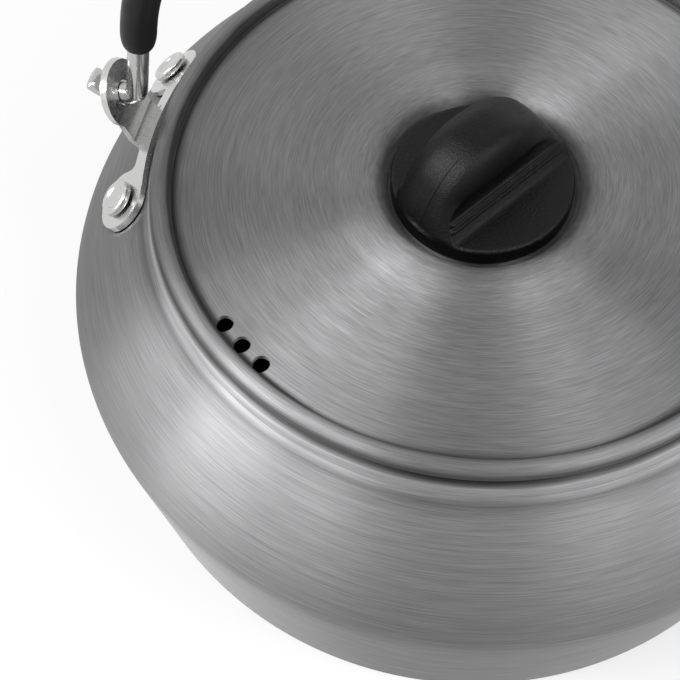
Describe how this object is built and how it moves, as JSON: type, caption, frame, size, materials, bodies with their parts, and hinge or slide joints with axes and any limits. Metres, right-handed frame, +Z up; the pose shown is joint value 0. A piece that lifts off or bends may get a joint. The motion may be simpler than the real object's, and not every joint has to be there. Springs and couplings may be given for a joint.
{
  "type": "camping kettle",
  "caption": "Low spun aluminium camping kettle with a lift-off vented lid, a folding steel bail with a soft sleeve, riveted ear brackets and a strainer spout.",
  "frame": {"origin": "On the kettle's axis, in the plane of the base that it stands on.", "axes": "+Z is up along the axis of the pot, +X points out through the spout, and the bail's hinge axis is along Y."},
  "size_m": [0.1743, 0.1534, 0.144],
  "materials": {
    "anodised_aluminium": "spun and hard anodised, fine turning lines",
    "stainless_steel": "stamped and tumbled, bright",
    "moulded_plastic": "moulded, fine spark texture with a soft sheen",
    "silicone": "smooth tube, soft sheen",
    "brass": "turned"
  },
  "bodies": {
    "kettle": {"pot": "anodised_aluminium", "spout": "anodised_aluminium", "bracket_left": "stainless_steel", "bracket_right": "stainless_steel", "rivet_left_front": "stainless_steel", "rivet_left_rear": "stainless_steel", "rivet_right_rear": "stainless_steel", "rivet_right_front": "stainless_steel"},
    "bail": {"bail_wire": "stainless_steel", "bail_sleeve": "silicone"},
    "lid": {"lid": "anodised_aluminium", "knob": "moulded_plastic", "knob_insert": "brass", "knob_washer": "stainless_steel", "knob_screw": "stainless_steel"}
  },
  "joints": [
    {"name": "bail_swing", "type": "hinge", "parent": "kettle", "child": "bail", "pos_m": [0, 0, 0.071], "axis": [0, 1, 0], "range_deg": [-98, 88]},
    {"name": "lid_lift", "type": "slide", "parent": "kettle", "child": "lid", "axis": [0, 0, 1], "range_m": [0, 0.015]}
  ]
}
